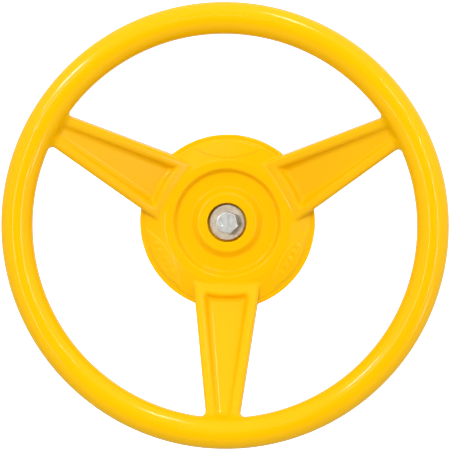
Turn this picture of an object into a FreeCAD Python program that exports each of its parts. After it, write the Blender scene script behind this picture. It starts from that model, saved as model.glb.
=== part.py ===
import FreeCAD, Part
import Sketcher
import math
import os
import re

# A play steering wheel for a playhouse or climbing tower: one yellow moulding (rim, three spokes and a
# dished hub) that spins freely on a sleeve, which a hex bolt clamps against a 38 mm board.
#
# Frame: millimetres, +Z up.  The wheel's axis is Y and its front faces -Y.  The origin is on the axis, in
# the plane where the rear washer meets the board, so all of the wheel is at negative Y and the board is at
# positive Y.

SHEET = "params"
ON_SURFACE = 0.05                   # how near to a surface or a circle an edge counts as on it

DIMENSIONS = {
    # rim
    "wheel_diameter": 300.0,
    "tube_diameter": 21.2,
    "rim_offset": 50.0,             # rim's plane, in front of the hub's front face
    # hub, front side
    "hub_diameter": 124.0,
    "hub_height": 25.5,             # front face of the hub above the board
    "hub_clearance": 3.0,           # side wall above the board
    "recess_diameter": 27.6,        # counterbore round the bolt's head
    "boss_radius": 20.5,
    "boss_foot_radius": 25.0,
    "dish_radius": 35.4,
    "dish_depth": 4.6,
    "ring_inner_radius": 38.0,
    "ring_outer_radius": 43.8,
    "ring_rise": 0.5,               # ring's face in front of the boss's face
    "skirt_radius": 58.6,
    "skirt_drop": 3.6,              # fall of the skirt from the ring to the lip
    "lip_step": 0.7,
    # hub, rear side
    "skin": 4.0,
    "wall": 3.5,
    "ring_skin": 5.7,
    "core_radius": 15.0,
    "bore_radius": 8.0,
    "web_thickness": 2.6,
    "web_count": 9,
    "web_setback": 2.5,
    "web_bite": 0.5,                # how far a web runs into the walls round it
    "ceiling_step": 1.2,
    # cartouches between the spokes
    "lens_centre": 51.8,
    "lens_half_length": 24.0,
    "lens_half_width": 6.4,
    "lens_rise": 0.8,
    # spokes
    "spoke_count": 3,
    "spoke_root_radius": 40.0,
    "spoke_root_half": 24.8,
    "spoke_tip_half": 10.4,
    "spoke_root_depth": 13.5,
    "spoke_tip_depth": 10.6,
    "spoke_top_at_rim": 1.0,        # spoke's face behind the rim's plane, at the inside of the tube
    "spoke_draft": 0.7,
    "spoke_bevel": 1.2,
    # channel in each spoke
    "channel_start": 46.0,
    "channel_end_top": 50.5,
    "channel_end_floor": 55.0,
    "channel_start_half": 16.8,
    "channel_stop_half": 3.4,
    "channel_start_depth": 8.0,
    "channel_stop_depth": 2.6,
    "channel_start_draft": 3.2,
    "channel_stop_draft": 1.5,
    "overshoot": 2.0,               # how far a cut runs past the face that it starts in
    "end_reach": 10.0,              # how far the cone that ends the channels runs past them
    # moulded edges
    "edge_round": 1.2,
    "channel_round": 1.2,
    "junction_round": 4.0,
    # bushes
    "sleeve_radius": 6.35,
    "sleeve_bore_radius": 4.95,
    "running_gap": 0.05,
    "end_play": 0.3,
    "flange_radius": 12.0,
    "flange_thickness": 1.5,
    "barrel_length": 6.0,
    # washers, 3/8 in
    "washer_radius": 12.7,
    "washer_bore_radius": 5.55,
    "washer_thickness": 2.1,
    "washer_sink": 4.0,             # front washer's face below the hub's front face
    "board_washer_radius": 19.05,
    "board_washer_thickness": 2.1,
    # hex bolt and lock nut, 3/8 in - 16
    "bolt_radius": 4.7625,
    "bolt_length": 76.2,
    "bolt_point": 1.0,
    "hex_flats": 14.29,
    "head_height": 6.0,
    "head_turn": 43.5,
    "thread_gap": 0.05,
    "nut_height": 11.6,
    "nut_hex_height": 8.6,
    "collar_radius": 6.6,
    "insert_radius": 5.9,
    "insert_height": 2.2,
    "insert_lip": 0.5,
    "collar_bevel": 0.6,
    "lip_gap": 0.4,
    "overlap": 1.0,                 # how far a collar or a shank starts inside its hexagon
    "bevel_start": 0.95,            # radius of a hexagon's round end face, over half its flats
    # the board that the wheel is made for
    "board_thickness": 38.0,
}

doc = FreeCAD.newDocument("play_steering_wheel")
sheet = doc.addObject("Spreadsheet::Sheet", SHEET)
for row, (alias, value) in enumerate(DIMENSIONS.items(), start=1):
    sheet.set(f"A{row}", alias)
    sheet.set(f"B{row}", str(value))
    sheet.setAlias(f"B{row}", alias)
doc.recompute()


# --------------------------------------------------------------------------------------------------------
# expressions and sketches

def expr(text):
    """An expression in which each driving dimension is written by its bare name."""
    return re.sub(r"[a-z_]+", lambda m: f"{SHEET}.{m[0]}" if m[0] in DIMENSIONS else m[0], text)


def value(text):
    """The number that an expression has now."""
    result = sheet.evalExpression(expr(text))
    return float(getattr(result, "Value", result))


def bind(target, prop, text):
    target.setExpression(prop, expr(text))


def new_body(label):
    body = doc.addObject("PartDesign::Body", label)
    body.Label = label
    return body


def origin_feature(body, role):
    return next(f for f in body.Origin.OriginFeatures if f.Role == role)


def new_sketch(body, name, plane, offset=None):
    """A sketch on one of the body's own origin planes, moved along that plane's normal by offset."""
    sketch = body.newObject("Sketcher::SketchObject", name)
    sketch.AttachmentSupport = [(origin_feature(body, plane), "")]
    sketch.MapMode = "FlatFace"
    if offset is not None:
        bind(sketch, "AttachmentOffset.Base.z", offset)
    return sketch


def place_point(sketch, geo, point, across, up):
    """Tie a sketch point to the sketch's origin by two named distances."""
    for kind, text in (("DistanceX", across), ("DistanceY", up)):
        index = sketch.addConstraint(Sketcher.Constraint(kind, -1, 1, geo, point, value(text)))
        bind(sketch, f"Constraints[{index}]", text)


def polygon(sketch, corners):
    """A closed outline through corners, each given as two expressions."""
    points = [FreeCAD.Vector(value(a), value(b), 0) for a, b in corners]
    count = len(points)
    for i, start in enumerate(points):
        sketch.addGeometry(Part.LineSegment(start, points[(i + 1) % count]), False)
    for i in range(count):
        sketch.addConstraint(Sketcher.Constraint("Coincident", i, 2, (i + 1) % count, 1))
    for i, (across, up) in enumerate(corners):
        place_point(sketch, i, 1, across, up)


def circle(sketch, across, up, radius):
    centre = FreeCAD.Vector(value(across), value(up), 0)
    geo = sketch.addGeometry(Part.Circle(centre, FreeCAD.Vector(0, 0, 1), value(radius)), False)
    place_point(sketch, geo, 3, across, up)
    index = sketch.addConstraint(Sketcher.Constraint("Radius", geo, value(radius)))
    bind(sketch, f"Constraints[{index}]", radius)


def hexagon_corners(flats, turn):
    """The six corners of a hexagon, as expressions of its width across flats and a turn in degrees."""
    reach = f"({flats} / 2 / cos(30 deg))"
    angles = [f"({turn} + {60 * k}) * 1 deg" for k in range(6)]
    return [(f"{reach} * cos({a})", f"{reach} * sin({a})") for a in angles]


# --------------------------------------------------------------------------------------------------------
# features

def revolve(body, name, corners, kind="PartDesign::Revolution"):
    """Turn an outline, given as radius and Y, right round the Y axis."""
    sketch = new_sketch(body, name + "_outline", "XY_Plane")
    polygon(sketch, corners)
    return spin(body, name, sketch, kind)


def spin(body, name, sketch, kind="PartDesign::Revolution"):
    feature = body.newObject(kind, name)
    feature.Profile = sketch
    feature.ReferenceAxis = (sketch, ["V_Axis"])
    feature.Angle = 360.0
    doc.recompute()
    return feature


def ring_body(label, outer, inner, front, back):
    """A plain ring round the Y axis, such as a washer or a sleeve."""
    body = new_body(label)
    revolve(body, label + "_ring", [(inner, front), (outer, front), (outer, back), (inner, back)])
    return body


def pad_along_y(body, name, sketch, length):
    """Pad a sketch of the XZ plane towards -Y, which is that plane's normal."""
    feature = body.newObject("PartDesign::Pad", name)
    feature.Profile = sketch
    bind(feature, "Length", length)
    doc.recompute()
    return feature


def loft(body, name, sections, kind="PartDesign::AdditiveLoft"):
    """A ruled loft between sections square to Z; each is (name, depth below the axis, corners)."""
    sketches = []
    for section, below, corners in sections:
        sketch = new_sketch(body, f"{name}_{section}", "XY_Plane", f"-({below})")
        polygon(sketch, corners)
        sketches.append(sketch)
    doc.recompute()
    feature = body.newObject(kind, name)
    feature.Profile = sketches[0]
    feature.Sections = sketches[1:]
    feature.Ruled = True
    doc.recompute()
    return feature


def polar(body, name, originals, count):
    pattern = body.newObject("PartDesign::PolarPattern", name)
    pattern.Originals = originals
    pattern.Axis = (origin_feature(body, "Y_Axis"), [""])
    pattern.Angle = 360.0
    bind(pattern, "Occurrences", count)
    body.Tip = pattern
    doc.recompute()
    return pattern


def fillet(body, name, edges, radius):
    base = body.Tip
    feature = body.newObject("PartDesign::Fillet", name)
    feature.Base = (base, edges)
    bind(feature, "Radius", radius)
    body.Tip = feature
    doc.recompute()
    return feature


def edge_names(shape, wanted):
    return [f"Edge{i}" for i, edge in enumerate(shape.Edges, start=1) if wanted(edge)]


def is_ring(edge, rings):
    """True for a full circle round the Y axis whose radius and Y are those of one of rings."""
    if not isinstance(edge.Curve, Part.Circle):
        return False
    found = (edge.Curve.Radius, edge.Curve.Center.y)
    return any(math.dist(found, ring) < ON_SURFACE for ring in rings)


def mid_point(edge):
    low, high = edge.ParameterRange
    return edge.valueAt((low + high) / 2)


# --------------------------------------------------------------------------------------------------------
# levels along Y that several pieces share

RIM_RADIUS = "(wheel_diameter / 2 - tube_diameter / 2)"
RIM_PLANE = "(-hub_height - rim_offset)"
HUB_FRONT = "(-hub_height)"
RING_FRONT = "(-hub_height - ring_rise)"
SKIRT_EDGE = "(-hub_height - ring_rise + skirt_drop)"
LIP_FRONT = "(-hub_height - ring_rise + skirt_drop + lip_step)"
DISH_FLOOR = "(-hub_height + dish_depth)"
HEAD_SEAT = "(-hub_height + washer_sink)"
SLEEVE_FRONT = "(-hub_height + washer_sink + washer_thickness)"
SLEEVE_BACK = "(-board_washer_thickness)"
COUNTERBORE_FLOOR = "(-hub_height + washer_sink + washer_thickness + end_play + flange_thickness)"
CORE_BACK = "(-board_washer_thickness - end_play - flange_thickness)"
CAVITY_CEILING = "(-hub_height + dish_depth + skin)"


# --------------------------------------------------------------------------------------------------------
# the wheel

def spoke_face(radius):
    """Y of the spokes' front face at a radius: a straight slope from the hub's ring up to the rim."""
    inside = f"({RIM_RADIUS} - tube_diameter / 2)"
    slope = f"(({RIM_PLANE} + spoke_top_at_rim - {RING_FRONT}) / ({inside} - ring_outer_radius))"
    return f"({RING_FRONT} + {slope} * ({radius} - ring_outer_radius))"


def spoke_section(radius, half, depth):
    """A spoke's section: bevelled in front, and a little wider behind."""
    face = spoke_face(radius)
    shoulder = f"({face} + spoke_bevel)"
    back = f"({face} + {depth})"
    flat_half = f"({half} - spoke_draft - spoke_bevel)"
    shoulder_half = f"({half} - spoke_draft)"
    return [(f"-{flat_half}", face), (flat_half, face), (shoulder_half, shoulder), (half, back),
            (f"-{half}", back), (f"-{shoulder_half}", shoulder)]


def channel_section(radius, half, depth, draft):
    """A channel's section, carried on past the spoke's face by the cut's overshoot."""
    face = spoke_face(radius)
    mouth = f"({face} - overshoot)"
    floor = f"({face} + {depth})"
    mouth_half = f"({half} + {draft} * overshoot / {depth})"
    floor_half = f"({half} - {draft})"
    return [(f"-{mouth_half}", mouth), (mouth_half, mouth), (floor_half, floor), (f"-{floor_half}", floor)]


def make_channels():
    """The three channels as solids, to be cut from the spokes: tapered, with a conical end at the hub."""
    body = new_body("channels")
    start = channel_section("channel_start", "channel_start_half", "channel_start_depth",
                            "channel_start_draft")
    stop = channel_section(RIM_RADIUS, "channel_stop_half", "channel_stop_depth", "channel_stop_draft")
    one = loft(body, "channel", [("start", "channel_start", start), ("stop", RIM_RADIUS, stop)])
    polar(body, "channel_pattern", [one], "spoke_count")
    top = spoke_face("channel_end_top")
    floor = f"({spoke_face('channel_end_floor')} + channel_start_depth)"
    slope = f"((channel_end_floor - channel_end_top) / ({floor} - {top}))"
    front, back = f"({top} - end_reach)", f"({floor} + end_reach)"
    front_radius = f"(channel_end_top - end_reach * {slope})"
    back_radius = f"(channel_end_floor + end_reach * {slope})"
    revolve(body, "channel_end", [("0", front), (front_radius, front), (back_radius, back), ("0", back)],
            "PartDesign::Groove")
    return body


def add_cartouches(body):
    """A raised lens between each pair of spokes: lens prisms, trimmed parallel to the skirt's cone."""
    arc_radius = "((lens_half_length ^ 2 + lens_half_width ^ 2) / (2 * lens_half_width))"
    outer_centre = f"(lens_centre + lens_half_width - {arc_radius})"
    inner_centre = f"(lens_centre - lens_half_width + {arc_radius})"
    sketch = new_sketch(body, "lens_outline", "XZ_Plane", "hub_height - lip_step - skirt_drop")
    lens(sketch, arc_radius, outer_centre, inner_centre)
    prism = pad_along_y(body, "lens", sketch, "skirt_drop + 3 * lens_rise")
    polar(body, "lens_pattern", [prism], "spoke_count")
    clear = f"({RING_FRONT} - skirt_drop - overshoot)"
    revolve(body, "lens_trim", [
        ("ring_outer_radius", f"({RING_FRONT} - lens_rise)"), ("skirt_radius", f"({SKIRT_EDGE} - lens_rise)"),
        ("skirt_radius", clear), ("ring_outer_radius", clear)], "PartDesign::Groove")


def lens(sketch, radius, outer_centre, inner_centre):
    """Two equal arcs that meet in points at the ends of the lens."""
    reach = value(radius)
    spread = math.asin(value("lens_half_length") / reach)
    up = math.pi / 2
    for centre, middle in ((outer_centre, up), (inner_centre, -up)):
        arc_circle = Part.Circle(FreeCAD.Vector(0, value(centre), 0), FreeCAD.Vector(0, 0, 1), reach)
        geo = sketch.addGeometry(Part.ArcOfCircle(arc_circle, middle - spread, middle + spread), False)
        place_point(sketch, geo, 3, "0", centre)
    index = sketch.addConstraint(Sketcher.Constraint("Radius", 0, reach))
    bind(sketch, f"Constraints[{index}]", radius)
    sketch.addConstraint(Sketcher.Constraint("Coincident", 0, 1, 1, 2))
    sketch.addConstraint(Sketcher.Constraint("Coincident", 0, 2, 1, 1))


def add_spokes(body):
    """Three spokes, whose inner ends are buried in the hub, with their channels cut out."""
    root = spoke_section("spoke_root_radius", "spoke_root_half", "spoke_root_depth")
    tip = spoke_section(RIM_RADIUS, "spoke_tip_half", "spoke_tip_depth")
    one = loft(body, "spoke", [("root", "spoke_root_radius", root), ("tip", RIM_RADIUS, tip)])
    polar(body, "spoke_pattern", [one], "spoke_count")
    cut = body.newObject("PartDesign::Boolean", "channel_cut")
    cut.Type = "Cut"
    cut.addObjects([make_channels()])
    body.Tip = cut
    doc.recompute()


def hollow_hub(body):
    """The cavity behind the hub's skin, between the core that holds the bushes and the side wall."""
    inside = "(hub_diameter / 2 - wall)"
    ring_ceiling = f"({RING_FRONT} + ring_skin)"
    mouth = "(-hub_clearance + overshoot)"
    revolve(body, "cavity", [
        ("bore_radius / 2", CORE_BACK), ("core_radius", CORE_BACK), ("core_radius", CAVITY_CEILING),
        ("dish_radius - ceiling_step", CAVITY_CEILING), ("ring_inner_radius - ceiling_step", ring_ceiling),
        ("ring_outer_radius", ring_ceiling), (inside, f"({LIP_FRONT} + skin)"), (inside, mouth),
        ("bore_radius / 2", mouth)], "PartDesign::Groove")
    sketch = new_sketch(body, "web_outline", "YZ_Plane")
    top = f"({ring_ceiling} - web_bite)"
    back = "(-hub_clearance - web_setback)"
    inner = "(core_radius - web_bite)"
    outer = f"({inside} + web_bite)"
    polygon(sketch, [(top, inner), (back, inner), (back, outer), (top, outer)])
    web = body.newObject("PartDesign::Pad", "web")
    web.Profile = sketch
    web.SideType = "Symmetric"
    bind(web, "Length", "web_thickness")
    doc.recompute()
    polar(body, "web_pattern", [web], "web_count")


def beside_spoke(point):
    """A point's distances across its nearest spoke and out along it."""
    turn = math.radians(360 / value("spoke_count"))
    angle = math.atan2(point.x, -point.z)
    angle -= turn * round(angle / turn)
    radius = math.hypot(point.x, point.z)
    return radius * math.sin(angle), radius * math.cos(angle)


def is_junction(edge):
    """True where the side of a spoke meets the rim's tube."""
    point = mid_point(edge)
    across = beside_spoke(point)[0]
    from_tube = math.hypot(math.hypot(point.x, point.z) - value(RIM_RADIUS), point.y - value(RIM_PLANE))
    on_tube = abs(from_tube - value("tube_diameter / 2")) < ON_SURFACE
    not_seam = value("tube_diameter / 5") < edge.Length < value("tube_diameter")
    return on_tube and not_seam and abs(across) > value("spoke_tip_half")


def is_channel_edge(edge):
    """True for the edges of a channel's mouth, in its spoke's front face."""
    point = mid_point(edge)
    across, along = beside_spoke(point)
    on_face = abs(point.y - value(spoke_face(str(along)))) < ON_SURFACE
    long_edge = edge.Length > value("channel_start_half")
    inside = abs(across) < 0.75 * value("channel_start_half") and along > value("channel_start")
    return on_face and inside and long_edge


def make_wheel():
    body = new_body("wheel_moulding")
    revolve(body, "hub", [
        ("bore_radius", COUNTERBORE_FLOOR), ("recess_diameter / 2", COUNTERBORE_FLOOR),
        ("recess_diameter / 2", HUB_FRONT), ("boss_radius", HUB_FRONT), ("boss_foot_radius", DISH_FLOOR),
        ("dish_radius", DISH_FLOOR), ("ring_inner_radius", RING_FRONT), ("ring_outer_radius", RING_FRONT),
        ("skirt_radius", SKIRT_EDGE), ("skirt_radius", LIP_FRONT), ("hub_diameter / 2", LIP_FRONT),
        ("hub_diameter / 2", "-hub_clearance"), ("bore_radius", "-hub_clearance")])
    rings = [("boss_radius", HUB_FRONT), ("boss_foot_radius", DISH_FLOOR), ("dish_radius", DISH_FLOOR),
             ("ring_inner_radius", RING_FRONT), ("hub_diameter / 2", LIP_FRONT)]
    places = [(value(radius), value(level)) for radius, level in rings]
    fillet(body, "hub_rounds", edge_names(body.Shape, lambda e: is_ring(e, places)), "edge_round")
    add_cartouches(body)
    add_spokes(body)
    hollow_hub(body)
    sketch = new_sketch(body, "rim_section", "XY_Plane")
    circle(sketch, RIM_RADIUS, RIM_PLANE, "tube_diameter / 2")
    spin(body, "rim", sketch)
    fillet(body, "junction_rounds", edge_names(body.Shape, is_junction), "junction_round")
    fillet(body, "channel_rounds", edge_names(body.Shape, is_channel_edge), "channel_round")
    return body


# --------------------------------------------------------------------------------------------------------
# bushes, sleeve and fasteners

def make_bushes():
    """Two flanged bushes, pressed into the core from the front and from the back."""
    inner = "(sleeve_radius + running_gap)"
    seats = [("front_bush", f"({SLEEVE_FRONT} + end_play)", COUNTERBORE_FLOOR,
              f"({COUNTERBORE_FLOOR} + barrel_length)"),
             ("rear_bush", f"({SLEEVE_BACK} - end_play)", CORE_BACK, f"({CORE_BACK} - barrel_length)")]
    bodies = []
    for label, outer_face, seat, barrel_end in seats:
        body = new_body(label)
        revolve(body, label + "_profile", [
            (inner, outer_face), ("flange_radius", outer_face), ("flange_radius", seat),
            ("bore_radius", seat), ("bore_radius", barrel_end), (inner, barrel_end)])
        bodies.append(body)
    return bodies


def make_rings():
    board_back = "board_thickness"
    return [
        ring_body("spacer_sleeve", "sleeve_radius", "sleeve_bore_radius", SLEEVE_FRONT, SLEEVE_BACK),
        ring_body("front_washer", "washer_radius", "washer_bore_radius", HEAD_SEAT, SLEEVE_FRONT),
        ring_body("rear_washer", "board_washer_radius", "washer_bore_radius", SLEEVE_BACK, "0"),
        ring_body("backing_washer", "board_washer_radius", "washer_bore_radius", board_back,
                  f"({board_back} + board_washer_thickness)")]


def add_hexagon(body, name, far_face, length):
    """A hexagon that ends at far_face, the end nearer the board's back, and reaches length forwards."""
    sketch = new_sketch(body, name + "_outline", "XZ_Plane", f"-{far_face}")
    polygon(sketch, hexagon_corners("hex_flats", "head_turn"))
    pad_along_y(body, name, sketch, length)


def bevel_corners(body, name, face, outward):
    """Take the corners off a hexagon's end, at 30 degrees, where outward is 1 or -1 along Y."""
    start = "(bevel_start * hex_flats / 2)"
    stop = f"({start} + overshoot)"
    behind = f"({face} - {outward} * overshoot * tan(30 deg))"
    beyond = f"({face} + {outward})"
    revolve(body, name, [(start, face), (stop, behind), (stop, beyond), (start, beyond)],
            "PartDesign::Groove")


def make_bolt():
    body = new_body("pivot_bolt")
    add_hexagon(body, "head", HEAD_SEAT, "head_height")
    bevel_corners(body, "head_bevel", f"({HEAD_SEAT} - head_height)", -1)
    tip = f"({HEAD_SEAT} + bolt_length)"
    inside_head = f"({HEAD_SEAT} - overlap)"
    revolve(body, "shank", [("0", inside_head), ("bolt_radius", inside_head),
                            ("bolt_radius", f"({tip} - bolt_point)"), ("bolt_radius - bolt_point", tip),
                            ("0", tip)])
    return body


def make_nut():
    """A lock nut with a nylon insert held in its collar."""
    body = new_body("lock_nut")
    seat = "(board_thickness + board_washer_thickness)"
    hex_end = f"({seat} + nut_hex_height)"
    end = f"({seat} + nut_height)"
    insert_end = f"({end} - insert_lip)"
    insert_start = f"({insert_end} - insert_height)"
    bore = "(bolt_radius + thread_gap)"
    lip_bore = f"({bore} + lip_gap)"
    add_hexagon(body, "nut_hexagon", hex_end, "nut_hex_height")
    bevel_corners(body, "nut_bevel_back", hex_end, 1)
    bevel_corners(body, "nut_bevel_front", seat, -1)
    inside = f"({hex_end} - overlap)"
    revolve(body, "collar", [
        ("0", inside), ("collar_radius", inside), ("collar_radius", f"({end} - collar_bevel)"),
        ("collar_radius - collar_bevel", end), ("0", end)])
    before, beyond = f"({seat} - overshoot)", f"({end} + overshoot)"
    revolve(body, "nut_bore", [
        ("0", before), (bore, before), (bore, insert_start), ("insert_radius", insert_start),
        ("insert_radius", insert_end), (lip_bore, insert_end), (lip_bore, beyond), ("0", beyond)],
        "PartDesign::Groove")
    insert = ring_body("nut_insert", "insert_radius", bore, insert_start, insert_end)
    return [body, insert]


# --------------------------------------------------------------------------------------------------------
# build, check and write

def check(parts):
    for item in doc.Objects:
        if "Invalid" in item.State or "Error" in item.State:
            raise RuntimeError(f"{item.Label} did not compute: {item.State}")
    for part in parts:
        if part.Shape.isNull() or not part.Shape.isValid() or len(part.Shape.Solids) != 1:
            raise RuntimeError(f"{part.Label} is not one valid solid")


def main():
    parts = [make_wheel(), *make_bushes(), *make_rings(), make_bolt(), *make_nut()]
    doc.recompute()
    check(parts)
    os.makedirs("parts", exist_ok=True)
    for part in parts:
        part.Shape.exportStep(f"parts/{part.Label}.step")
        box = part.Shape.BoundBox
        print(f"{part.Label:16s} {part.Shape.Volume / 1000:8.2f} cm3   Y {box.YMin:7.2f} .. {box.YMax:6.2f}")


main()
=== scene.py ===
import math

import bpy
import numpy as np
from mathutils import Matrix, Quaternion, Vector


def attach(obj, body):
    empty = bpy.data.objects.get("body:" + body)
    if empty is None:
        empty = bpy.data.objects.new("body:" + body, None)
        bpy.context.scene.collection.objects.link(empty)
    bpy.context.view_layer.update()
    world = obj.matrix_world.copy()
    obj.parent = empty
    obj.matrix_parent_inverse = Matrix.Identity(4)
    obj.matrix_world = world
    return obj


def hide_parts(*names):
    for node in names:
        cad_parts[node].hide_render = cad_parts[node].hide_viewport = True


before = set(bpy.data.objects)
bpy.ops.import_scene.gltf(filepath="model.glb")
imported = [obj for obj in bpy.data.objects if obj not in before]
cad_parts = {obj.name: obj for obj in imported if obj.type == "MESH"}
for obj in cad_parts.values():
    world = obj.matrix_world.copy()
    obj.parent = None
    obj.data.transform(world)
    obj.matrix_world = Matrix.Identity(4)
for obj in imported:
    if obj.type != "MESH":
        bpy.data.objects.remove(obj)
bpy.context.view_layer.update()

# Shapes are worked out in millimetres, in the row frame: the wheel's axis is Y and its front faces -Y.
# Meshes are scaled to metres as they are made.
MM = 0.001
THIRD = 2 * math.pi / 3             # the angle from one spoke to the next

# ---------------------------------------------------------------------------------------------------------
# distance fields: negative inside


def join(a, b, k):
    """Union, with a hollow fillet of radius k where the two meet."""
    return np.maximum(k, np.minimum(a, b)) - np.hypot(np.maximum(k - a, 0), np.maximum(k - b, 0))


def meet(a, b, k):
    """Intersection, with its edge rounded to radius k."""
    return np.minimum(-k, np.maximum(a, b)) + np.hypot(np.maximum(k + a, 0), np.maximum(k + b, 0))


def rise(x, low, high):
    """0 below low, 1 above high, smooth between."""
    t = np.clip((x - low) / (high - low), 0, 1)
    return t * t * (3 - 2 * t)


def soft_profile(points, blur, step=0.02):
    """A height over radius through points, with its corners rounded by a bell of that width."""
    radii = np.arange(-4.0, 70.0, step)
    heights = np.interp(radii, [p[0] for p in points], [p[1] for p in points])
    n = int(blur / step) | 1
    bell = np.hanning(n + 2)[1:-1]
    padded = np.pad(heights, n // 2, mode="edge")
    return radii, np.convolve(padded, bell / bell.sum(), mode="valid")


# rim
RIM_RADIUS, RIM_PLANE, TUBE = 139.4, -75.5, 10.57
RIM_FILLET = 4.5                    # below 4.8, so that it doesn't swell the rim's front

# hub, front side
HUB_RADIUS, HUB_BACK, HUB_FACE = 62.0, -3.0, -25.5
DISH_FLOOR, RING_FACE, SKIRT_EDGE = -20.9, -26.0, -22.4
RING_EDGE = 43.8
FRONT = soft_profile([(0, HUB_FACE), (20.5, HUB_FACE), (25.0, DISH_FLOOR), (35.4, DISH_FLOOR),
                      (38.0, RING_FACE), (RING_EDGE, RING_FACE), (58.4, SKIRT_EDGE),
                      (70.0, SKIRT_EDGE)], 3.2)
FRONT_SLOPE = np.gradient(FRONT[1], FRONT[0])
LIP_START, LIP_END, LIP_STEP = 58.0, 59.1, 0.72

# a cartouche between each pair of spokes: a lens, with small dots in the lower two
LENS_OUT, LENS_HALF_LENGTH, LENS_HALF_WIDTH, LENS_RISE = 51.8, 24.0, 6.4, 0.7
DOT_PLACES, DOT_OUT, DOT_RADIUS, DOT_RISE = (0.0, 5.6, 11.2), 51.2, 1.7, 0.3

# hub, rear side: a cavity round a core, with webs
CAVITY_TOP, RING_TOP, SKIRT_TOP = -16.9, -20.3, -17.7
CEILING = soft_profile([(0, CAVITY_TOP), (34.4, CAVITY_TOP), (37.0, RING_TOP), (RING_EDGE, RING_TOP),
                        (58.5, SKIRT_TOP), (70.0, SKIRT_TOP)], 1.6)
CEILING_SLOPE = np.gradient(CEILING[1], CEILING[0])
CORE_RADIUS, WALL_INSIDE = 15.0, 58.5
WEB_HALF, WEB_BACK, WEB_BITE = 1.3, -5.5, 0.5
BORE_RADIUS, RECESS_RADIUS, RECESS_FLOOR = 8.0, 13.8, -17.6
CORE_BACK, CORE_TRIM = -3.9, 15.4

# spokes and their channels, each (distance along the spoke, size there, what it loses per mm outwards)
SPOKE_FACE = (43.8, -26.0, 0.5706)
SPOKE_DEPTH = (40.0, 13.5, 0.02918)
SPOKE_HALF = (40.0, 24.8, 0.14487)
SPOKE_START, SPOKE_DRAFT = 38.0, 0.7
CHANNEL_HALF = (46.0, 16.8, 0.14347)
CHANNEL_DEPTH = (46.0, 8.0, 0.0578)
CHANNEL_DRAFT = (46.0, 3.2, 0.0182)
END_RADIUS, END_LEVEL, END_SLOPE = 50.5, -29.82, 0.829      # the cone that ends a channel at the hub


def taper(v, line):
    start, size, loss = line
    return size - loss * (v - start)


def lens_field(r, b):
    """Distance outside the lens cartouche whose middle is at angle b = 0."""
    across, out = r * np.sin(b), r * np.cos(b)
    reach = (LENS_HALF_LENGTH**2 + LENS_HALF_WIDTH**2) / (2 * LENS_HALF_WIDTH)
    upper = np.hypot(across, out - (LENS_OUT + LENS_HALF_WIDTH - reach)) - reach
    lower = np.hypot(across, out - (LENS_OUT - LENS_HALF_WIDTH + reach)) - reach
    return np.maximum(upper, lower), across, out


def wheel_field(x, y, z):
    """The moulding: rim, three channelled spokes, and a hub that is dished in front and hollow behind. The
    factors on slanted sides bring each back to a true distance, and the last number of each join or meet is
    its rounding."""
    r = np.hypot(x, z)
    turn = np.arctan2(x, -z)
    nearest = np.round(turn / THIRD)
    a = np.abs(turn - THIRD * nearest)

    # hub front
    lens, across, out = lens_field(r, math.pi / 3 - a)
    front = np.interp(r, *FRONT) + LIP_STEP * rise(r, LIP_START, LIP_END)
    front = front - LENS_RISE * rise(-lens, -0.2, 1.3)
    dots = [np.hypot(across - place, out - DOT_OUT) - DOT_RADIUS for place in DOT_PLACES]
    dotted = rise(-np.minimum(np.minimum(dots[0], dots[1]), dots[2]), -0.5, 0.5)
    front = front - DOT_RISE * dotted * (z < 0)
    slope = np.interp(r, FRONT[0], FRONT_SLOPE)
    hub = meet((front - y) / np.sqrt(1 + slope**2), r - HUB_RADIUS, 1.2)
    hub = meet(hub, y - HUB_BACK, 0.5)

    # spokes: u is the distance across the nearest one, and v the distance along it
    u, v = r * np.sin(a), r * np.cos(a)
    face, depth = taper(v, SPOKE_FACE), taper(v, SPOKE_DEPTH)
    below = (y - face) / depth
    side = (u - taper(v, SPOKE_HALF) + SPOKE_DRAFT * (1 - below)) * 0.988
    spoke = meet(meet(side, (face - y) * 0.8685, 2.8), (y - face - depth) * 0.86, 0.7)
    spoke = np.maximum(spoke, np.maximum(SPOKE_START - v, v - RIM_RADIUS))
    body = join(hub, spoke, 1.3)

    # channels
    channel_depth = taper(v, CHANNEL_DEPTH)
    below = (y - face) / channel_depth
    wall = (u - taper(v, CHANNEL_HALF) + taper(v, CHANNEL_DRAFT) * below) * 0.91
    floor = (y - face - channel_depth) * 0.847
    cone = END_RADIUS + END_SLOPE * (y - END_LEVEL)
    channel = meet(meet(wall, floor, 2.0), (cone - r) * 0.77, 2.6)
    body = meet(body, -channel, 1.8)

    # rim
    tube = np.hypot(r - RIM_RADIUS, y - RIM_PLANE) - TUBE
    body = join(body, tube, RIM_FILLET)

    # cavity behind the skin, with nine webs
    ceiling = np.interp(r, *CEILING)
    ceiling_slope = np.interp(r, CEILING[0], CEILING_SLOPE)
    over = (ceiling - y) / np.sqrt(1 + ceiling_slope**2)
    cavity = meet(meet(over, CORE_RADIUS - r, 0.8), r - WALL_INSIDE, 0.8)
    body = meet(body, -cavity, 0.4)
    web = np.minimum(r * np.abs(np.sin(a - THIRD / 6)), r * np.abs(np.sin(a - THIRD / 2))) - WEB_HALF
    web = meet(web, y - WEB_BACK, 0.6)
    ends = np.maximum(CORE_RADIUS - WEB_BITE - r, r - WALL_INSIDE - WEB_BITE)
    web = np.maximum(web, np.maximum(ends, ceiling - 2 * WEB_BITE - y))
    body = join(body, web, 0.8)

    # core, counterbore and bore
    body = meet(body, -np.maximum(CORE_BACK - y, r - CORE_TRIM), 0.3)
    body = meet(body, -np.maximum(r - RECESS_RADIUS, y - RECESS_FLOOR), 0.7)
    return meet(body, BORE_RADIUS - r, 0.3)


# ---------------------------------------------------------------------------------------------------------
# meshes


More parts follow.
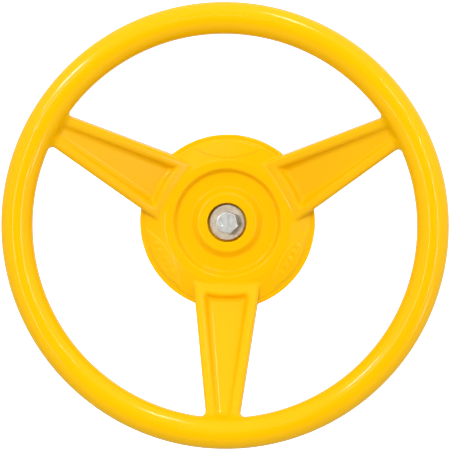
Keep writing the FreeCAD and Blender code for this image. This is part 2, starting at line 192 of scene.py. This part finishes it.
def steps(*runs):
    """Grid levels from runs of (start, stop, spacing), each run ending where the next one starts."""
    levels = [np.linspace(a, b, max(2, round((b - a) / s) + 1))[:-1] for a, b, s in runs]
    return np.concatenate(levels + [[runs[-1][1]]])


def to_mesh(name, points, groups, normals=None):
    """A mesh from points and groups of faces, each group an array with one face to a row."""
    sizes = np.concatenate([np.full(len(g), g.shape[1]) for g in groups])
    starts = np.cumsum(sizes) - sizes
    mesh = bpy.data.meshes.new(name)
    mesh.vertices.add(len(points))
    mesh.vertices.foreach_set("co", (points * MM).astype(np.float32).ravel())
    mesh.loops.add(int(sizes.sum()))
    mesh.loops.foreach_set("vertex_index", np.concatenate([g.ravel() for g in groups]).astype(np.int32))
    mesh.polygons.add(len(sizes))
    mesh.polygons.foreach_set("loop_start", starts.astype(np.int32))
    mesh.update(calc_edges=True)
    mesh.shade_smooth()
    if normals is not None:
        mesh.normals_split_custom_set_from_vertices(normals.astype(np.float32))
    obj = bpy.data.objects.new(name, mesh)
    bpy.context.scene.collection.objects.link(obj)
    return obj


def gradient(field, p, h=0.05):
    """The field's gradient at each point, by central differences."""
    g = np.empty_like(p)
    for i in range(3):
        d = np.zeros(3)
        d[i] = h
        g[:, i] = (field(*(p + d).T) - field(*(p - d).T)) / (2 * h)
    return g


def skin(name, field, radii, levels, sector_steps):
    """A quad mesh of field's zero surface, on a grid of rings round the Y axis. The field repeats every
    third of a turn and mirrors within it, so it is only worked out over a sixth of a turn."""
    sector = np.linspace(0, THIRD / 2, sector_steps + 1)
    r, y, t = np.meshgrid(radii, levels, sector, indexing="ij")
    part = field(r * np.sin(t), y, -r * np.cos(t)).astype(np.float32)
    third = np.concatenate([part, part[:, :, -2:0:-1]], axis=2)
    values = np.concatenate([third] * 3, axis=2)
    n_t = values.shape[2]
    angles = np.arange(n_t + 1) * (2 * math.pi / n_t)
    inside = values < 0
    ring = np.concatenate([inside, inside[:, :, :1]], axis=2)
    corners = [ring[i:i + len(radii) - 1, j:j + len(levels) - 1, k:k + n_t]
               for i in (0, 1) for j in (0, 1) for k in (0, 1)]
    some, every = corners[0].copy(), corners[0].copy()
    for c in corners[1:]:
        some |= c
        every &= c
    active = some & ~every
    ci, cj, ck = np.nonzero(active)
    index = np.full(active.shape, -1, np.int32)
    index[ci, cj, ck] = np.arange(len(ci))

    # start each point at the middle of its cell's crossings
    full = np.concatenate([values, values[:, :, :1]], axis=2)
    total, count = np.zeros((len(ci), 3)), np.zeros(len(ci))
    for axis in range(3):
        for s in (0, 1):
            for w in (0, 1):
                low = np.array([s, w, 0] if axis == 2 else ([s, 0, w] if axis == 1 else [0, s, w]))
                high = low.copy()
                high[axis] = 1
                f0 = full[ci + low[0], cj + low[1], ck + low[2]]
                f1 = full[ci + high[0], cj + high[1], ck + high[2]]
                hit = (f0 < 0) != (f1 < 0)
                share = np.where(hit, f0 / np.where(hit, f0 - f1, 1), 0)
                place = low[None, :] + share[:, None] * (high - low)[None, :]
                total += np.where(hit[:, None], place, 0)
                count += hit
    at = total / count[:, None]
    rr = radii[ci] + at[:, 0] * (radii[ci + 1] - radii[ci])
    yy = levels[cj] + at[:, 1] * (levels[cj + 1] - levels[cj])
    tt = angles[ck] + at[:, 2] * (angles[1] - angles[0])
    p = np.stack([rr * np.sin(tt), yy, -rr * np.cos(tt)], axis=1)
    # then move it onto the surface
    for _ in range(4):
        g = gradient(field, p)
        d = field(*p.T)
        step = (d / np.maximum((g * g).sum(1), 0.25))[:, None] * g
        length = np.linalg.norm(step, axis=1, keepdims=True)
        p -= step * np.minimum(1, 0.4 / np.maximum(length, 1e-9))

    # one quad round each grid edge that crosses the surface
    quads = []

    def add(a, b, c, d, flip):
        q = np.stack([a, b, c, d], axis=1)
        q[flip] = q[flip][:, ::-1]
        quads.append(q)

    ei, ej, ek = np.nonzero(inside[:-1] != inside[1:])
    km = (ek - 1) % n_t
    add(index[ei, ej - 1, km], index[ei, ej, km], index[ei, ej, ek], index[ei, ej - 1, ek],
        inside[ei, ej, ek])
    ei, ej, ek = np.nonzero(inside[:, :-1] != inside[:, 1:])
    km = (ek - 1) % n_t
    add(index[ei - 1, ej, km], index[ei - 1, ej, ek], index[ei, ej, ek], index[ei, ej, km],
        inside[ei, ej, ek])
    ei, ej, ek = np.nonzero(inside != np.roll(inside, -1, axis=2))
    add(index[ei - 1, ej - 1, ek], index[ei, ej - 1, ek], index[ei, ej, ek], index[ei - 1, ej, ek],
        inside[ei, ej, ek])
    faces = np.concatenate(quads)
    normals = gradient(field, p, 0.12)
    normals /= np.linalg.norm(normals, axis=1, keepdims=True)
    a, b, c = p[faces[:, 0]], p[faces[:, 1]], p[faces[:, 2]]
    outward = (np.cross(b - a, c - a) * normals[faces[:, 0]]).sum()
    if outward < 0:
        faces = faces[:, ::-1]
    return to_mesh(name, p, [faces], normals)


# grid lines round the axis, closer together where the moulding has more detail
radii = steps((6.4, 12.6, 0.8), (12.6, 15.8, 0.4), (15.8, 35.0, 0.65), (35.0, 39.0, 0.4),
              (39.0, 57.6, 0.65), (57.6, 63.0, 0.3), (63.0, 127.0, 0.95), (127.0, 151.5, 0.7))
levels = steps((-87.5, -64.0, 0.7), (-64.0, -28.0, 0.85), (-28.0, -15.0, 0.42), (-15.0, -6.5, 0.7),
               (-6.5, -1.5, 0.4))
wheel = skin("wheel_shell", wheel_field, radii, levels, 128)


def outline(corners, loop=True, spacing=None):
    """Points along an outline of (r, y, rounding) corners, optionally no further apart than spacing."""
    places = [np.array(c[:2], float) for c in corners]
    points = []
    for i, (_, _, k) in enumerate(corners):
        here, before, after = places[i], places[i - 1], places[(i + 1) % len(places)]
        if k == 0 or (not loop and i in (0, len(places) - 1)):
            points.append(here)
            continue
        a = (before - here) / np.linalg.norm(before - here)
        b = (after - here) / np.linalg.norm(after - here)
        half = math.acos(a @ b) / 2
        centre = here + (a + b) / np.linalg.norm(a + b) * k / math.sin(half)
        start, stop = here + a * k / math.tan(half) - centre, here + b * k / math.tan(half) - centre
        sweep = math.pi - 2 * half
        for t in np.linspace(0, 1, 6):
            mixed = math.sin((1 - t) * sweep) * start + math.sin(t * sweep) * stop
            points.append(centre + mixed / math.sin(sweep))
    if spacing is None:
        return np.array(points)
    ends = points[1:] + points[:1] if loop else points[1:]
    fine = []
    for a, b in zip(points, ends):
        n = max(1, math.ceil(np.linalg.norm(b - a) / spacing))
        fine += [a + (b - a) * t for t in np.arange(n) / n]
    return np.array(fine if loop else fine + [points[-1]])


def turned(name, line, angles, loop=True, shape=None):
    """A mesh swept round the Y axis from a line of (r, y) points. An open line starts and ends near the
    axis and is closed there. shape may change r and y at each point."""
    r, t = np.meshgrid(line[:, 0], angles, indexing="ij")
    y = np.repeat(line[:, 1:], len(angles), axis=1)
    if shape is not None:
        r, y = shape(r, y, t)
    points = np.stack([r * np.cos(t), y, r * np.sin(t)], axis=2).reshape(-1, 3)
    rows, n = len(line), len(angles)
    i, j = np.meshgrid(np.arange(rows if loop else rows - 1), np.arange(n), indexing="ij")
    after, beside = (i + 1) % rows, (j + 1) % n
    faces = np.stack([i * n + j, i * n + beside, after * n + beside, after * n + j], axis=2).reshape(-1, 4)
    corner = [points[faces[:, k]] for k in range(4)]
    cross = np.cross(corner[2] - corner[0], corner[3] - corner[1])
    volume = (cross * corner[0]).sum()
    sign = 1 if volume > 0 else -1
    if sign < 0:
        faces = faces[:, ::-1]
    normals = np.zeros_like(points)
    for k in range(4):
        np.add.at(normals, faces[:, k], sign * cross)
    groups = [faces]
    if not loop:
        first, last = np.arange(n)[None, :], ((rows - 1) * n + np.arange(n))[None, :]
        groups += [first[:, ::-1], last] if sign < 0 else [first, last[:, ::-1]]
    lengths = np.linalg.norm(normals, axis=1, keepdims=True)
    return to_mesh(name, points, groups, normals / np.where(lengths > 0, lengths, 1))


EVEN = np.arange(120) * (2 * math.pi / 120)
HEX_HALF, HEX_TURN, HEX_ROUND = 7.145, math.radians(43.5), 0.35     # half across flats; corner rounding
BEVEL_START, BEVEL_END = 6.788, 8.6
BEVEL_FALL = (BEVEL_END - BEVEL_START) * math.tan(math.radians(30))
CORNER_MIDDLE = (HEX_HALF - HEX_ROUND) / math.cos(math.pi / 6)
CORNER_REACH = math.atan(HEX_ROUND * math.sin(math.pi / 6)
                         / (CORNER_MIDDLE + HEX_ROUND * math.cos(math.pi / 6)))
on_corner = np.linspace(-CORNER_REACH, CORNER_REACH, 7)
on_flat = np.linspace(CORNER_REACH, math.pi / 3 - CORNER_REACH, 15)[1:-1]
HEX_ANGLES = np.concatenate([HEX_TURN + k * math.pi / 3 + np.concatenate([on_corner, on_flat])
                             for k in range(6)])


def hexagon(angles):
    """Radius of a hexagon with slightly rounded corners, at each angle."""
    from_corner = (angles - HEX_TURN + math.pi / 6) % (math.pi / 3) - math.pi / 6
    flat = HEX_HALF / np.cos(math.pi / 6 - np.abs(from_corner))
    bulge = np.sqrt(np.maximum(HEX_ROUND**2 - (CORNER_MIDDLE * np.sin(from_corner))**2, 0))
    corner = CORNER_MIDDLE * np.cos(from_corner) + bulge
    return np.where(np.abs(from_corner) < CORNER_REACH, corner, flat)


BOLT_RADIUS, PITCH, THREAD_DEPTH, THREAD_START = 4.7625, 1.5875, 0.93, 29.3
HEAD_FACE, HEAD_SEAT, BOLT_END = -27.35, -21.5, 54.7


def bolt_shape(r, y, t):
    """Hexagon on the head, thread on the end of the shank, and a small raised dot on the face."""
    r = np.where(y < HEAD_SEAT + 0.001, np.minimum(r, hexagon(t)), r)
    phase = (y / PITCH + t / (2 * math.pi)) % 1
    groove = np.clip((1 - np.abs(2 * phase - 1)) * 1.4 - 0.2, 0, 1)
    root = BOLT_RADIUS - THREAD_DEPTH * groove * rise(y, THREAD_START, THREAD_START + 1.6)
    r = np.where(y > THREAD_START, np.minimum(r, root), r)
    dot = np.hypot(r * np.cos(t) + 2.7, r * np.sin(t) + 2.0)
    y = np.where(y < HEAD_FACE + 0.01, y - 0.15 * (1 - rise(dot, 0.45, 0.8)), y)
    return r, y


def nut_shape(r, y, t):
    """Hexagon up to the nut's collar."""
    return np.where(y < NUT_HEX_END + 0.001, np.minimum(r, hexagon(t)), r), y


head = outline([(0.1, HEAD_FACE, 0), (BEVEL_START, HEAD_FACE, 0.4), (BEVEL_END, HEAD_FACE + BEVEL_FALL, 0),
                (BEVEL_END, HEAD_SEAT, 0), (BOLT_RADIUS, HEAD_SEAT, 0)], loop=False, spacing=0.2)
shank = outline([(BOLT_RADIUS, HEAD_SEAT + 0.01, 0), (BOLT_RADIUS, THREAD_START, 0)],
                loop=False, spacing=4.0)
end = outline([(BOLT_RADIUS, THREAD_START + 0.01, 0), (BOLT_RADIUS, BOLT_END - 1.0, 0.3),
               (BOLT_RADIUS - 1.0, BOLT_END, 0.3), (0.1, BOLT_END, 0)], loop=False, spacing=PITCH / 12)
NUT_SEAT, NUT_HEX_END, NUT_END = 40.1, 48.7, 51.7
NUT_BORE, NUT_COLLAR, NUT_LIP, NUT_CHAMFER = 4.8125, 6.6, 5.2125, 0.45
INSERT_RADIUS, INSERT_START, INSERT_END = 5.9, 49.0, 51.2
nut = outline([(NUT_BORE + NUT_CHAMFER, NUT_SEAT, 0), (BEVEL_START, NUT_SEAT, 0.3),
               (BEVEL_END, NUT_SEAT + BEVEL_FALL, 0), (BEVEL_END, NUT_HEX_END - BEVEL_FALL, 0),
               (BEVEL_START, NUT_HEX_END, 0.15), (NUT_COLLAR, NUT_HEX_END + 0.01, 0),
               (NUT_COLLAR, NUT_END, 0.7), (NUT_LIP, NUT_END, 0.15), (NUT_LIP, INSERT_END, 0),
               (INSERT_RADIUS, INSERT_END, 0), (INSERT_RADIUS, INSERT_START, 0),
               (NUT_BORE, INSERT_START, 0), (NUT_BORE, NUT_SEAT + NUT_CHAMFER, 0)], spacing=0.3)


def ring(inner, outer, front, back, front_round, back_round):
    return outline([(inner, front, 0.2), (outer, front, front_round), (outer, back, back_round),
                    (inner, back, 0.2)])


def flanged(flange_face, flange_back, barrel_end):
    """A bush's outline: a flange against the core's end, and a barrel pressed into its bore."""
    return outline([(BUSH_BORE, flange_face, 0.4), (FLANGE_RADIUS, flange_face, 0.4),
                    (FLANGE_RADIUS, flange_back, 0.2), (BORE_RADIUS, flange_back, 0.1),
                    (BORE_RADIUS, barrel_end, 0.4), (BUSH_BORE, barrel_end, 0.2)])


SLEEVE_BORE, SLEEVE_RADIUS, SLEEVE_FRONT, SLEEVE_BACK = 4.95, 6.35, -19.4, -2.1
BUSH_BORE, FLANGE_RADIUS = 6.4, 12.0
WASHER_BORE, WASHER_RADIUS, BOARD_WASHER_RADIUS = 5.55, 12.7, 19.05
BOARD_BACK = 38.0
hardware = {
    "pivot_bolt": turned("bolt", np.concatenate([head, shank, end]), HEX_ANGLES, False, bolt_shape),
    "lock_nut": turned("nut", nut, HEX_ANGLES, True, nut_shape),
    "nut_insert": turned("insert", ring(
        NUT_BORE, INSERT_RADIUS, INSERT_START, INSERT_END, 0.2, 0.2), EVEN),
    "spacer_sleeve": turned("sleeve", ring(
        SLEEVE_BORE, SLEEVE_RADIUS, SLEEVE_FRONT, SLEEVE_BACK, 0.3, 0.3), EVEN),
    "front_washer": turned("washer_front", ring(
        WASHER_BORE, WASHER_RADIUS, HEAD_SEAT, SLEEVE_FRONT, 0.7, 0.2), EVEN),
    "rear_washer": turned("washer_rear", ring(
        WASHER_BORE, BOARD_WASHER_RADIUS, SLEEVE_BACK, 0.0, 0.7, 0.2), EVEN),
    "backing_washer": turned("washer_backing", ring(
        WASHER_BORE, BOARD_WASHER_RADIUS, BOARD_BACK, NUT_SEAT, 0.2, 0.7), EVEN),
    "front_bush": turned("bush_front", flanged(-19.1, RECESS_FLOOR, -11.6), EVEN),
    "rear_bush": turned("bush_rear", flanged(-2.4, CORE_BACK, -9.9), EVEN),
}

# ---------------------------------------------------------------------------------------------------------
# materials


def new_material(name):
    material = bpy.data.materials.new(name)
    material.use_nodes = True
    tree = material.node_tree
    return material, tree, tree.nodes["Principled BSDF"]


def link(tree, a, a_socket, b, b_socket):
    tree.links.new(a.outputs[a_socket], b.inputs[b_socket])


def noise(tree, scale, detail=4.0, rough=0.5, distortion=0.0):
    coords = tree.nodes.new("ShaderNodeTexCoord")
    node = tree.nodes.new("ShaderNodeTexNoise")
    node.inputs["Scale"].default_value = scale
    node.inputs["Detail"].default_value = detail
    node.inputs["Roughness"].default_value = rough
    node.inputs["Distortion"].default_value = distortion
    link(tree, coords, "Object", node, "Vector")
    return node


def ramp(tree, source, socket, stops):
    """A blend between two (place, colour) stops."""
    node = tree.nodes.new("ShaderNodeValToRGB")
    for element, (place, colour) in zip(node.color_ramp.elements, stops):
        element.position = place
        element.color = (*colour, 1)
    link(tree, source, socket, node, "Fac")
    return node


def remap(tree, source, socket, low, high, out_low, out_high):
    node = tree.nodes.new("ShaderNodeMapRange")
    for key, number in (("From Min", low), ("From Max", high), ("To Min", out_low), ("To Max", out_high)):
        node.inputs[key].default_value = number
    link(tree, source, socket, node, "Value")
    return node


def bump(tree, source, socket, distance, strength, under=None):
    node = tree.nodes.new("ShaderNodeBump")
    node.inputs["Strength"].default_value = strength
    node.inputs["Distance"].default_value = distance
    link(tree, source, socket, node, "Height")
    if under is not None:
        link(tree, under, "Normal", node, "Normal")
    return node


def yellow_plastic():
    """Glossy moulded plastic: faint clouds of colour, uneven gloss, slow waves and fine orange peel."""
    material, tree, shader = new_material("yellow_plastic")
    cloud = noise(tree, 9.0, 3.0)
    colour = ramp(tree, cloud, "Fac", [(0.3, (0.99, 0.530, 0.0008)), (0.7, (1.0, 0.550, 0.0012))])
    link(tree, colour, "Color", shader, "Base Color")
    streaks = noise(tree, 60.0, 5.0, 0.6)
    rough = remap(tree, streaks, "Fac", 0.3, 0.75, 0.11, 0.17)
    link(tree, rough, "Result", shader, "Roughness")
    peel = noise(tree, 220.0, 2.0)
    waves = noise(tree, 38.0, 2.0)
    first = bump(tree, waves, "Fac", 0.0001, 0.3)
    second = bump(tree, peel, "Fac", 0.00002, 0.3, first)
    link(tree, second, "Normal", shader, "Normal")
    shader.inputs["IOR"].default_value = 1.5
    shader.inputs["Specular IOR Level"].default_value = 0.13
    return material


MIX_A, MIX_B, MIX_RESULT = 6, 7, 2       # a Mix node's colour sockets, which share their names with others


def zinc_steel(name, dull, bright, side):
    """Zinc-plated steel: cloudy plating, fine turned marks round the axis, small pits. Faces that look
    sideways, such as flats and rolled edges, get a darker colour: painted shade and painted dark
    reflection."""
    material, tree, shader = new_material(name)
    shader.inputs["Metallic"].default_value = 0.4
    shader.inputs["IOR"].default_value = 1.8
    cloud = noise(tree, 260.0, 5.0, 0.6, 0.6)
    colour = ramp(tree, cloud, "Fac", [(0.32, dull), (0.68, bright)])
    coords = tree.nodes.new("ShaderNodeTexCoord")
    facing = tree.nodes.new("ShaderNodeVectorMath")
    facing.operation = "MULTIPLY"
    facing.inputs[1].default_value = (0, 1, 0)
    along = tree.nodes.new("ShaderNodeVectorMath")
    along.operation = "LENGTH"
    link(tree, coords, "Normal", facing, 0)
    link(tree, facing, "Vector", along, 0)
    # painted shade: 1 on faces that look along the axis, falling to 0 on faces that look sideways, which
    # take the dark side colour
    free_of_painted_shade = remap(tree, along, "Value", 0.1, 0.8, 0.0, 1.0)
    blend = tree.nodes.new("ShaderNodeMix")
    blend.data_type = "RGBA"
    blend.inputs[MIX_A].default_value = (*side, 1)
    link(tree, free_of_painted_shade, "Result", blend, "Factor")
    link(tree, colour, "Color", blend, MIX_B)
    link(tree, blend, MIX_RESULT, shader, "Base Color")
    fine = noise(tree, 900.0, 3.0)
    rough = remap(tree, fine, "Fac", 0.3, 0.7, 0.28, 0.48)
    link(tree, rough, "Result", shader, "Roughness")
    across = tree.nodes.new("ShaderNodeVectorMath")
    across.operation = "MULTIPLY"
    across.inputs[1].default_value = (1, 0, 1)
    radius = tree.nodes.new("ShaderNodeVectorMath")
    radius.operation = "LENGTH"
    marks = tree.nodes.new("ShaderNodeTexNoise")
    marks.noise_dimensions = "1D"
    marks.inputs["Scale"].default_value = 1800.0
    link(tree, coords, "Object", across, 0)
    link(tree, across, "Vector", radius, 0)
    link(tree, radius, "Value", marks, "W")
    pits = noise(tree, 700.0, 5.0, 0.6)
    rings = bump(tree, marks, "Fac", 0.00006, 0.5)
    link(tree, bump(tree, pits, "Fac", 0.00010, 0.5, rings), "Normal", shader, "Normal")
    return material


def nylon(name, low, high):
    """Matt plastic between two near colours."""
    material, tree, shader = new_material(name)
    cloud = noise(tree, 120.0, 4.0)
    colour = ramp(tree, cloud, "Fac", [(0.3, low), (0.7, high)])
    link(tree, colour, "Color", shader, "Base Color")
    fine = noise(tree, 500.0, 3.0)
    rough = remap(tree, fine, "Fac", 0.3, 0.7, 0.38, 0.55)
    link(tree, rough, "Result", shader, "Roughness")
    link(tree, bump(tree, fine, "Fac", 0.00005, 0.4), "Normal", shader, "Normal")
    return material


def paint(obj, material):
    obj.data.materials.clear()
    obj.data.materials.append(material)


yellow = yellow_plastic()
# the third colour of each zinc is painted shade and painted dark reflection for its sideways faces
bright_zinc = zinc_steel("bright_zinc", (0.40, 0.41, 0.40), (0.58, 0.59, 0.57), (0.20, 0.19, 0.17))
# the washers' zinc is tinted warm: a painted reflection of the yellow moulding round them
zinc_with_painted_reflection = zinc_steel("zinc_with_painted_reflection", (0.47, 0.40, 0.30), (0.63, 0.56, 0.45), (0.22, 0.19, 0.15))
bush = nylon("bush_nylon", (0.62, 0.60, 0.53), (0.72, 0.70, 0.63))
blue = nylon("insert_nylon", (0.015, 0.05, 0.24), (0.02, 0.07, 0.32))
plain_steel = (zinc_with_painted_reflection, "zinc_steel")
finishes = {"front_bush": (bush, "bush_plastic"), "rear_bush": (bush, "bush_plastic"),
            "nut_insert": (blue, "insert_plastic"), "pivot_bolt": (bright_zinc, "zinc_steel"),
            "lock_nut": (bright_zinc, "zinc_steel")}

paint(wheel, yellow)
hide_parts("wheel_moulding")
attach(wheel, "wheel")
for node, piece in hardware.items():
    material, slot = finishes.get(node, plain_steel)
    paint(piece, material)
    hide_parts(node)
    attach(piece, "wheel" if node.endswith("bush") else "pivot")

# ---------------------------------------------------------------------------------------------------------
# stage, lights and camera


def white():
    """A matt white that glows a little, so that it shows as plain white however it is lit."""
    material, _, shader = new_material("floor_white")
    shader.inputs["Base Color"].default_value = (0.9, 0.9, 0.9, 1)
    shader.inputs["Roughness"].default_value = 0.9
    shader.inputs["Specular IOR Level"].default_value = 0.1
    shader.inputs["Emission Color"].default_value = (1, 1, 1, 1)
    shader.inputs["Emission Strength"].default_value = 0.9
    return material


def cyclorama(radius, bend, height, floor_z):
    """A round floor, in metres, whose edge curves up into a wall all the way round."""
    path = [(0.01, floor_z)]
    for t in np.linspace(0, math.pi / 2, 25):
        path.append((radius - bend + bend * math.sin(t), floor_z + bend * (1 - math.cos(t))))
    path.append((radius, height))
    across, up = np.array(path).T
    n = 96
    angles = np.arange(n) * (2 * math.pi / n)
    points = np.stack([np.outer(across, np.cos(angles)), np.outer(across, np.sin(angles)),
                       np.repeat(up[:, None], n, axis=1)], axis=2).reshape(-1, 3) / MM
    i, j = np.meshgrid(np.arange(len(path) - 1), np.arange(n), indexing="ij")
    beside = (j + 1) % n
    faces = np.stack([i * n + j, (i + 1) * n + j, (i + 1) * n + beside, i * n + beside], axis=2)
    return to_mesh("studio_floor", points, [faces.reshape(-1, 4), np.arange(n)[None, ::-1]])


floor = cyclorama(4.5, 1.2, 6.0, -0.62)
paint(floor, white())
floor.visible_diffuse = floor.visible_glossy = floor.visible_shadow = False


def studio_world(towards, level, low, high, left):
    """White all round, brighter towards one side, and dimmed in a cone in front of the wheel. The cone is
    mirrored by the faces that look forwards, and gives them their deep colour."""
    world = bpy.data.worlds.new("studio")
    world.use_nodes = True
    tree = world.node_tree
    direction = tree.nodes.new("ShaderNodeTexCoord")
    dots = []
    for vector in (towards, (0, -1, 0)):
        dot = tree.nodes.new("ShaderNodeVectorMath")
        dot.operation = "DOT_PRODUCT"
        dot.inputs[1].default_value = vector
        link(tree, direction, "Generated", dot, 0)
        dots.append(dot)
    add = tree.nodes.new("ShaderNodeMath")
    add.operation = "ADD"
    add.inputs[1].default_value = level
    link(tree, dots[0], "Value", add, 0)
    dimmed = remap(tree, dots[1], "Value", low, high, 1.0, left)
    dimmed.interpolation_type = "SMOOTHSTEP"
    product = tree.nodes.new("ShaderNodeMath")
    product.operation = "MULTIPLY"
    link(tree, add, "Value", product, 0)
    link(tree, dimmed, "Result", product, 1)
    link(tree, product, "Value", tree.nodes["Background"], "Strength")
    tree.nodes["Background"].inputs["Color"].default_value = (1, 1, 1, 1)
    return world


bpy.context.scene.world = studio_world((0.14, -0.10, 0.17), 0.81, 0.70, 0.88, 0.08)


def area(name, place, width, height, power, mirrored=True, spread=True):
    """A lamp that points at the origin and isn't seen itself. It can be left out of reflections, or kept to
    them alone."""
    lamp = bpy.data.lights.new(name, "AREA")
    lamp.shape = "RECTANGLE"
    lamp.size, lamp.size_y, lamp.energy = width, height, power
    obj = bpy.data.objects.new(name, lamp)
    bpy.context.scene.collection.objects.link(obj)
    obj.location = place
    obj.rotation_mode = "QUATERNION"
    obj.rotation_quaternion = (-Vector(place)).to_track_quat("-Z", "Y")
    obj.visible_glossy = mirrored
    obj.visible_diffuse = spread
    obj.visible_camera = False
    return obj


# these are only seen as highlights
area("key", (-1.1, -1.3, 0.9), 0.25, 0.25, 14, spread=False)
area("strip_left", (-0.8, -1.75, 0.0), 0.05, 1.5, 11, spread=False)
area("strip_right", (1.05, -1.6, 0.2), 0.05, 1.5, 14, spread=False)
area("glint_high", (0.45, -1.0, 1.6), 0.25, 0.6, 14, spread=False)
area("glint_low", (1.35, -1.0, -0.7), 0.25, 0.25, 3.5, spread=False)

# a soft light on the plastic, and a card that the steel mirrors
front = area("front", (-0.3, -2.3, 0.9), 0.9, 0.9, 37, mirrored=False)
card = area("card", (-0.85, -1.5, 0.35), 0.45, 0.45, 20)
plastic = bpy.data.collections.new("plastic")
metal = bpy.data.collections.new("metal")
plastic.objects.link(wheel)
for node, piece in hardware.items():
    (plastic if node.endswith(("bush", "insert")) else metal).objects.link(piece)
front.light_linking.receiver_collection = plastic
card.light_linking.receiver_collection = metal

AZIMUTH, ELEVATION, ROLL = math.radians(2.7), math.radians(3.9), math.radians(0.34)
DISTANCE, PIXEL = 0.96, 0.0006696        # camera to the rim's plane, and a pixel's width there
SENSOR, IMAGE = 36, 450                  # width in mm, and in pixels
RIM_AT = (223.55, 227.65)                # the pixel where the rim's middle lies
camera_data = bpy.data.cameras.new("camera")
camera_data.sensor_width = SENSOR
camera_data.lens = DISTANCE / PIXEL * SENSOR / IMAGE
camera_data.clip_start, camera_data.clip_end = 0.05, 30
camera = bpy.data.objects.new("camera", camera_data)
bpy.context.scene.collection.objects.link(camera)
bpy.context.scene.camera = camera
flat_reach = math.cos(ELEVATION)
back = Vector((math.sin(AZIMUTH) * flat_reach, -math.cos(AZIMUTH) * flat_reach, math.sin(ELEVATION)))
turn = (-back).to_track_quat("-Z", "Y") @ Quaternion((0, 0, 1), ROLL)
camera.rotation_mode = "QUATERNION"
camera.rotation_quaternion = turn
right, up = turn @ Vector((1, 0, 0)), turn @ Vector((0, 1, 0))
shift = right * (IMAGE / 2 - RIM_AT[0]) + up * (RIM_AT[1] - IMAGE / 2)
camera.location = Vector((0, RIM_PLANE * MM, 0)) + back * DISTANCE + shift * PIXEL
bpy.context.scene.view_settings.view_transform = "Standard"
